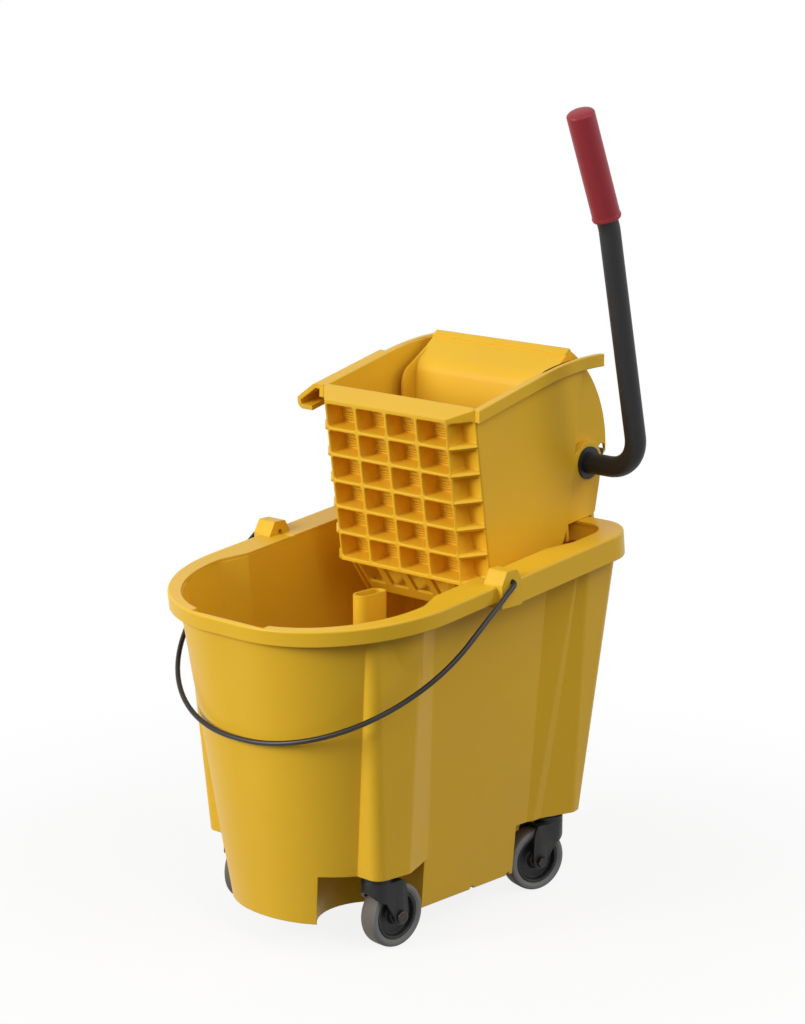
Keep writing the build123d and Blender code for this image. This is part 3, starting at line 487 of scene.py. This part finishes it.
def turned(radius, along, centre, axis, steps=80):
    """Each section point goes round the axis at its own radius, at its own distance along from the centre."""
    axis = np.array(axis) / np.linalg.norm(axis)
    side = np.cross(axis, (0, 0, 1))
    side /= np.linalg.norm(side)
    angle = np.linspace(0, 2 * np.pi, steps, endpoint=False)[:, None, None]
    ring = np.cos(angle) * side + np.sin(angle) * np.cross(side, axis)
    return np.array(centre) + radius[None, :, None] * ring + along[None, :, None] * axis


# %% [markdown]
# The tyre's section is a squared-off circle, with a shallow ring let into each side where the rubber meets
# the hub. A circle is squared off by raising its sine and cosine to a power below one.

# %% Tyre section
def power(wave, exponent):
    """The wave's size raised to a power with its sign kept: it squares off a circle."""
    return np.sign(wave) * np.abs(wave) ** exponent


wheel_radius, tyre_inner, tyre_half = 0.038, 0.028, 0.0115
groove_radius, groove_width, groove_share = 0.0305, 0.0006, 0.07
section = np.linspace(0, 2 * np.pi, 64, endpoint=False)
tyre_middle, tyre_deep = (wheel_radius + tyre_inner) / 2, (wheel_radius - tyre_inner) / 2
tyre_radius = tyre_middle + tyre_deep * power(np.cos(section), 0.6)
tyre_along = tyre_half * power(np.sin(section), 0.45)
tyre_along *= 1 - groove_share * np.exp(-((tyre_radius - groove_radius) / groove_width) ** 2)
print("tyre", round(2 * tyre_radius.max(), 4), "m across")

# %% [markdown]
# The hub is a black dish on both sides: a rim, a thin web and a boss for the axle. Its half width is the
# web's, with a smooth step up to the rim and another up to the boss. The tyre and the hub replace the plain
# CAD rings.

# %% Wheels
def step(value, middle, width):
    """A smooth rise from 0 to 1 about the middle."""
    return 0.5 + 0.5 * np.tanh((value - middle) / width)


bore_radius, web_half, dish_depth = 0.0043, 0.0035, 0.0068
rim_from, rim_soft, boss_to, boss_soft = 0.0245, 0.0007, 0.0105, 0.0009
hub_run = np.linspace(tyre_inner, bore_radius, 48)
hub_half = web_half + dish_depth * (step(hub_run, rim_from, rim_soft) + step(-hub_run, -boss_to, boss_soft))
hub_radius = np.concatenate([hub_run, hub_run[::-1]])
hub_along = np.concatenate([-hub_half, hub_half[::-1]])

for corner in corners:
    roll = joints[f"roll_{corner}"]
    wheel = f"wheel_{corner}"
    tyre = grid_piece(f"tyre_{corner}_round", turned(tyre_radius, tyre_along, roll["pos_m"], roll["axis"]))
    hub = grid_piece(f"hub_{corner}_dish", turned(hub_radius, hub_along, roll["pos_m"], roll["axis"]))
    show(tyre, wheel, "grey_tyre", f"tyre_{corner}")
    show(hub, wheel, "black_plastic", f"hub_{corner}")
print("wheels", len(corners), "tyre faces", len(tyre.data.polygons))

# %% [markdown]
# The grip is a vinyl sleeve dipped over the tube's end: a softly rounded top, a straight body and a small
# flared lip at the open end, where the vinyl is rolled back. It is one section too, down the outside, round
# the lip and up the bore, turned round the lean of the tube's last run.

# %% Grip
grip_length, grip_radius, grip_bore, grip_end = 0.134, 0.0163, 0.0127, 0.008
grip_dome, dome_power = 0.006, 2.4
lip_proud, lip_place, lip_width = 0.0009, 0.0025, 0.0018
tube_back, tube_rise = 0.055, 0.133
grip_lean = math.atan2(tube_back, tube_rise)
grip_axis = np.array((0, math.sin(grip_lean), -math.cos(grip_lean)))
grip_low, grip_high = (np.array(place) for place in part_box("lever_grip"))
grip_top = (grip_low + grip_high) / 2 - grip_axis * grip_length / 2

dome = np.linspace(0, 1, 14)
sleeve = np.linspace(grip_dome, grip_length, 90)[1:]
outside_along = np.concatenate([grip_dome * dome, sleeve])
dome_radius = grip_radius * (1 - (1 - dome) ** dome_power) ** (1 / dome_power)
outside_radius = np.concatenate([dome_radius, np.full(len(sleeve), grip_radius)])
outside_radius += lip_proud * np.exp(-((outside_along - grip_length + lip_place) / lip_width) ** 2)
inside_along = np.linspace(grip_length, grip_end, 20)
sleeve_radius = np.concatenate([outside_radius, np.full(len(inside_along), grip_bore), [0.0]])
sleeve_along = np.concatenate([outside_along, inside_along, [grip_end]])
grip = grid_piece("lever_grip_sleeve", turned(sleeve_radius, sleeve_along, grip_top, grip_axis))
show(grip, "lever", "red_grip", "lever_grip")
print("grip", round(grip_length, 3), "m long")

# %% [markdown]
# ## The front grid
# The front of the wringer is one moulding: a leaning block, bevelled at both corners, whose face is opened
# into pockets so that only thin rounded ribs are left. Cutting the pockets out of a block leaves long faces
# full of holes, which shade badly. So every pocket is a run of rings instead, from the square of its cell,
# over the rounded rib, down the walls and out through its drain slot to the square on the inner face. A
# ring is a rectangle with arcs at its corners, so one formula makes them all.

# %% Rings
def outline_rings(halves, radii, steps=32):
    """Rectangles with rounded corners: each direction's point of an arc, moved to its corner's centre."""
    angle = (np.arange(steps) + 0.5) * 2 * np.pi / steps
    wave = np.stack([np.cos(angle), np.sin(angle)], -1)
    halves, radii = np.array(halves)[:, None], np.array(radii)[:, None, None]
    return np.sign(wave) * (halves - radii) + radii * wave


def bands(points):
    """The quads between each ring and the next, for points of shape (cells, rings, steps, 3)."""
    index = np.arange(points.size // 3).reshape(points.shape[:3])
    low, high = index[:, :-1], index[:, 1:]
    return np.stack([low, np.roll(low, -1, 2), np.roll(high, -1, 2), high], -1).reshape(-1, 4)


# %% [markdown]
# Cells that touch share the points of their edges. So the cells and the plain faces around them go into one
# mesh, points that meet are welded, and the count of open edges shows whether the moulding is closed. Small
# straight details, such as fins, lugs and ridges, are prisms: one outline carried along an axis.

# %% Welding
def welded(name, *parts):
    """One mesh from parts, each some points and arrays of faces. Points that meet become one, and the faces
    are turned to face outwards."""
    points, faces = np.zeros((0, 3)), []
    for part_points, *part_faces in parts:
        for run in part_faces:
            faces += (run + len(points)).tolist()
        points = np.concatenate([points, part_points.reshape(-1, 3)])
    mesh = bpy.data.meshes.new(name)
    mesh.from_pydata(points.tolist(), [], faces)
    shell = bmesh.new()
    shell.from_mesh(mesh)
    bmesh.ops.remove_doubles(shell, verts=shell.verts, dist=1e-6)
    bmesh.ops.recalc_face_normals(shell, faces=shell.faces)
    open_edges = sum(not edge.is_manifold for edge in shell.edges)
    shell.to_mesh(mesh)
    shell.free()
    mesh.shade_smooth()
    mesh.set_sharp_from_angle(angle=math.radians(35))
    print(name, len(mesh.polygons), "faces,", open_edges, "open edges")
    return bpy.data.objects.new(name, mesh)


def prisms(places, outline, across, rise, along, near, far):
    """A closed prism at each place: its outline on the across and rise axes, from near to far along."""
    ring = outline[:, :1] * across + outline[:, 1:] * rise
    points = places[:, None, None] + np.stack([ring + near * along, ring + far * along])
    index = np.arange(points.size // 3).reshape(points.shape[:3])
    return points, bands(points), index[:, 0], index[:, 1]


# %% [markdown]
# The wall's foot and head give its lean, and with it three axes: across the wringer, up the wall and out of
# it. The cells sit in four columns and six rows on the flat front, between the two bevelled corners.

# %% Grid layout
grid_foot, grid_head = np.array((0, 0.0435, 0.405)), np.array((0, 0.0155, 0.6))
grid_length = np.linalg.norm(grid_head - grid_foot)
grid_up = (grid_head - grid_foot) / grid_length
grid_out = np.array((0, -grid_up[2], grid_up[1]))
across = np.array((1.0, 0, 0))
grid_half, flat_half, chamber_half = 0.119, 0.095, 0.115
grid_front, grid_skin, grid_below, cap_slope = 0.025, 0.004, 0.01, 0.3147

columns, rows = 4, 6
first_rise, last_rise = -0.0075, 0.1863
cell_half = np.array((flat_half / columns, (last_rise - first_rise) / rows / 2))
column_edges = flat_half * np.linspace(-1, 1, columns + 1)
row_edges = np.linspace(first_rise, last_rise, rows + 1)
row_rise = (row_edges[:-1] + cell_half[1])[:, None]
spots = np.stack(np.meshgrid(column_edges[:-1] + cell_half[0], row_rise), -1).reshape(-1, 2)
pocket_places = grid_foot + spots[:, :1] * across + spots[:, 1:] * grid_up
print("cell", np.round(2 * cell_half, 4), "m, wall", round(grid_length, 4), "m")

# %% [markdown]
# A front pocket's rings are listed from the outside in: the cell's own square, the quarter round over the
# rib, the back of the pocket a little smaller than its mouth, so that it leaves the mould, then the drain
# slot in front and behind, above the pocket's middle, and the square again.

# %% Front pockets
rib, rib_round, pocket_round, back_round, back_share = 0.0042, 0.0016, 0.004, 0.0035, 0.96
slot_half, slot_round, slot_shift = np.array((0.012, 0.0023)), 0.001, 0.0045
quarter = np.linspace(0, np.pi / 2, 5)
lip_grow, lip_sink = rib_round * (1 - np.sin(quarter)), rib_round * (1 - np.cos(quarter))
mouth = cell_half - rib / 2
mouth_halves = [mouth + grow for grow in lip_grow]
ring_halves = [cell_half, *mouth_halves, back_share * mouth, slot_half, slot_half, cell_half]
ring_radii = [0, *(pocket_round + lip_grow), back_round, slot_round, slot_round, 0]
ring_outs = np.array([grid_front, *(grid_front - lip_sink), 0, 0, -grid_skin, -grid_skin])
ring_shift = np.array([0, *(0 * quarter), 0, slot_shift, slot_shift, 0])
rings = outline_rings(ring_halves, ring_radii)
cell = rings[..., :1] * across + (rings[..., 1:] + ring_shift[:, None, None]) * grid_up
front_cells = pocket_places[:, None, None] + cell + ring_outs[:, None, None] * grid_out
block = [(front_cells, bands(front_cells))]
print("front pockets", len(pocket_places))

# %% [markdown]
# A further column of pockets turns each bevelled corner. Their mouths lie on the bevel, but they are drawn
# straight out of the same mould, so their walls run the same way as the front pockets' walls, down to one
# flat back. Each mouth ring is therefore carried back along the wall's own axis until it reaches that back.

# %% Corner pockets
corner_rib, back_rise = (0.0025, 0.0032), 0.0005
bevel_run = grid_half - flat_half
bevel_wide = math.hypot(bevel_run, grid_front)
bevel_half = np.array((bevel_wide / 2, cell_half[1]))
bevel_mouth = bevel_half - corner_rib
bevel_halves = [bevel_half, *(bevel_mouth + grow for grow in lip_grow)]
bevel_rings = outline_rings(bevel_halves, [0, *(pocket_round + lip_grow)])
bevel_sink = np.array([0, *lip_sink])[:, None, None]


def bevel_axes(hand):
    """The bevel on one hand: its axis across, its axis out, and the middle of its foot."""
    bevel_across = (hand * bevel_run * across - grid_front * grid_out) / bevel_wide
    bevel_out = (hand * grid_front * across + bevel_run * grid_out) / bevel_wide
    bevel_foot = grid_foot + hand * (grid_half + flat_half) / 2 * across + grid_front / 2 * grid_out
    return bevel_across, bevel_out, bevel_foot


for hand in (-1, 1):
    bevel_across, bevel_out, bevel_foot = bevel_axes(hand)
    bevel_places = bevel_foot + row_rise * grid_up
    mouths = bevel_rings[..., :1] * bevel_across + bevel_rings[..., 1:] * grid_up
    mouths = bevel_places[:, None, None] + mouths - bevel_sink * bevel_out
    depth = (mouths[:, -1:] - grid_foot) @ grid_out
    backs = mouths[:, -1:] - (depth - back_rise)[..., None] * grid_out
    middles = np.broadcast_to(backs.mean(2, keepdims=True), backs.shape)
    corner_cells = np.concatenate([mouths, backs, middles], 1)
    block.append((corner_cells, bands(corner_cells)))
print("corner pockets", 2 * rows)

# %% [markdown]
# What is left of the block is plain: a strip down each end behind the corner pockets, the cap with its
# slope at the top, and the edge under the lowest row. With those the moulding is closed.

# %% Close the block
end_path = np.array([(grid_half, 0), (chamber_half, 0), (chamber_half, -grid_skin), (flat_half, -grid_skin)])
for hand in (-1, 1):
    strip = grid_foot + hand * end_path[:, :1] * across + end_path[:, 1:] * grid_out
    strip = strip + row_edges[:, None, None] * grid_up
    index = np.arange(strip.size // 3).reshape(strip.shape[:2])
    quads = np.stack([index[:-1, :-1], index[1:, :-1], index[1:, 1:], index[:-1, 1:]], -1)
    block.append((strip, quads.reshape(-1, 4)))

front_edge = np.stack([column_edges, np.full(columns + 1, grid_front)], -1)
back_edge = np.stack([column_edges[::-1], np.full(columns + 1, -grid_skin)], -1)
outline = np.concatenate([front_edge, end_path[:3], back_edge, end_path[2::-1] * (-1, 1)])
outline_ring = grid_foot + outline[:, :1] * across + outline[:, 1:] * grid_out
cap_rise = grid_length - cap_slope * outline[:, 1:]
for inner, outer in ((last_rise, cap_rise), (first_rise, -grid_below)):
    ends = np.stack([outline_ring + inner * grid_up, outline_ring + outer * grid_up])[None]
    block.append((ends, bands(ends), np.arange(len(outline), 2 * len(outline))[None]))
show(welded("front_grid_moulded", *block), "wringer", "yellow_plastic", "front_grid")

# %% [markdown]
# The ribs run on round the corners as fins that stand proud of the bevel. A fin's outline is a bell, so it
# rises softly, and its foot is sunk in the rib below it. Two lugs under the grid locate it on the drain
# floor.

# %% Fins and lugs
fin_half, fin_proud, fin_soft, fin_sunk, fin_inset = 0.0038, 0.003, 0.0017, 0.0003, 0.001
fin_foot = [(0.003, -0.0015), (-0.003, -0.0015)]
fin_rise = np.linspace(-fin_half, fin_half, 17)
fin_bell = np.stack([fin_rise, fin_proud * np.exp(-(fin_rise / fin_soft) ** 2) - fin_sunk], -1)
fin_outline = np.concatenate([fin_bell, fin_foot])
fin_reach = bevel_half[0] - fin_inset
fins = []
for hand in (-1, 1):
    bevel_across, bevel_out, bevel_foot = bevel_axes(hand)
    fin_places = bevel_foot + row_edges[:-1, None] * grid_up
    fins.append(prisms(fin_places, fin_outline, grid_up, bevel_out, bevel_across, -fin_reach, fin_reach))

lug_aside, lug_drop, lug_half, lug_round = 0.061, 0.004, (0.004, 0.005), 0.001
lug_back, lug_front = -0.001, 0.005
lug_places = grid_foot + np.array([[-lug_aside], [lug_aside]]) * across - (grid_below + lug_drop) * grid_up
lug_outline = outline_rings([lug_half], [lug_round])[0]
lugs = prisms(lug_places, lug_outline, across, grid_up, grid_out, lug_back, lug_front)
show(welded("grid_fins", *fins, lugs), "wringer", "yellow_plastic")

# %% [markdown]
# The middle of each pocket's back is moulded with fine steps below the drain slot. Each is a small wedge,
# and all of them are one mesh: the wedge's corners are added to every place in one go.

# %% Pocket ridges
ridge_half, ridge_proud, ridge_reach = 0.0009, 0.001, 0.0175
ridge_rise = np.array((-0.0108, -0.0078, -0.0048, -0.0018))
ridge_places = (pocket_places[:, None] + ridge_rise[:, None] * grid_up).reshape(-1, 3)
wedge = np.array([(-ridge_half, 0), (ridge_half, 0), (ridge_half, ridge_proud)])
ridges = prisms(ridge_places, wedge, grid_up, grid_out, across, -ridge_reach, ridge_reach)
show(welded("pocket_ridges", ridges), "wringer", "yellow_plastic")

# %% [markdown]
# ## The caster forks
# A fork is one wall bent into a U: it runs along one side of the wheel, round the back as a hood, and along
# the other side, and its lower edge drops to the axle on both arms. It could be bent from a flat strip, but
# a run of rings along the U is simpler, each a rounded rectangle between the wall's lower and upper edge.
# First come the two edges of one arm, from the round foot at the axle to the back.

# %% Fork arm
fork_radius, fork_wall, fork_round, fork_trail, foot_radius = 0.0175, 0.0035, 0.0008, 0.022, 0.01
crown_rise, hood_rise, hood_arch, axle_rise = 0.082, 0.058, 0.012, 0.038
arm = (fork_trail + foot_radius) * np.sin(np.linspace(np.pi / 2, 0, 36))
past_axle = np.clip((arm - fork_trail) / foot_radius, -1, 1)
slope = hood_rise - (hood_rise - axle_rise) * arm / (fork_trail - foot_radius)
foot = axle_rise - foot_radius * np.sqrt(1 - past_axle ** 2)
arm_low = np.where(arm < fork_trail - foot_radius, slope, foot)
arm_high = axle_rise + (crown_rise - axle_rise) * (1 - np.clip(past_axle, 0, 1) ** 3) ** (1 / 3)
print("arm reaches", round(arm.max(), 4), "m ahead of the stem")

# %% [markdown]
# Both arms and the half circle between them make one path. At the back the lower edge rises in an arch over
# the wheel. Where an arm ends the two edges meet, so the ring there is kept a hair open.

# %% Fork wall
back = np.linspace(np.pi / 2, 3 * np.pi / 2, 33)[1:-1]
path_ahead = np.concatenate([arm, 0 * back, arm[::-1]])
path_turn = np.concatenate([np.full(len(arm), np.pi / 2), back, np.full(len(arm), 3 * np.pi / 2)])
low = np.concatenate([arm_low, hood_rise + hood_arch * np.cos(back) ** 2, arm_low[::-1]])
high = np.concatenate([arm_high, np.full(len(back), crown_rise), arm_high[::-1]])
half_rise = np.maximum((high - low) / 2, 1e-5)
wall_halves = np.stack([np.full(len(low), fork_wall / 2), half_rise], -1)
wall_rings = outline_rings(wall_halves, np.minimum(fork_round, 0.9 * half_rise), 16)
wall_out = fork_radius - fork_wall / 2 + wall_rings[..., 0]
wall_ahead = path_ahead[:, None] + wall_out * np.cos(path_turn)[:, None]
wall_aside = wall_out * np.sin(path_turn)[:, None]
wall_rise = (low + high)[:, None] / 2 + wall_rings[..., 1]
print("fork wall", wall_rings.shape[0], "rings")

# %% [markdown]
# A turned collar with a groove round it and the stem above, and a flat crown plate, close the top of the U.
# The collar's section is listed from the axis outwards and up, each point a radius and a height over the
# floor.

# %% Forks
crown_thick, crown_half, crown_ahead, crown_round = 0.004, 0.0125, 0.0115, 0.001
collar_rise, stem_radius, stem_rise = 0.0896, 0.0055, 0.126
collar_radius, collar_along = np.array([
    (0, 0.0785), (0.0165, 0.0785), (0.0175, 0.0795), (0.0175, 0.0834), (0.0169, 0.084),
    (0.0175, 0.0846), (0.0175, 0.0888), (0.0167, collar_rise), (stem_radius, collar_rise),
    (stem_radius, stem_rise), (0, stem_rise),
]).T
crown_aside = fork_radius - fork_wall / 2
crown_outline = outline_rings([(crown_half, crown_aside)], [crown_round])[0] + (crown_ahead, 0)
level, upward = np.array((1.0, 1.0, 0)), np.array((0, 0, 1.0))
# A hair off upright, because turned() finds a side direction only for an axis that leans.
stem_axis = (0, 1e-9, 1)

for corner in corners:
    centre = level * joints[f"swivel_{corner}"]["pos_m"]
    ahead = (level * joints[f"roll_{corner}"]["pos_m"] - centre) / fork_trail
    aside = np.array((-ahead[1], ahead[0], 0))
    wall = centre + wall_ahead[..., None] * ahead + wall_aside[..., None] * aside
    wall = wall + wall_rise[..., None] * upward
    wall_ends = np.arange(wall.size // 3).reshape(wall.shape[:2])[[0, -1]]
    bent_wall = (wall, bands(wall[None]), wall_ends)
    collar = np.swapaxes(turned(collar_radius, collar_along, centre, stem_axis, 64), 0, 1)[None]
    crown = prisms(centre[None], crown_outline, ahead, aside, upward, crown_rise - crown_thick, crown_rise)
    fork = welded(f"fork_{corner}_moulded", bent_wall, (collar, bands(collar)), crown)
    show(fork, f"caster_{corner}", "black_plastic", f"fork_{corner}")
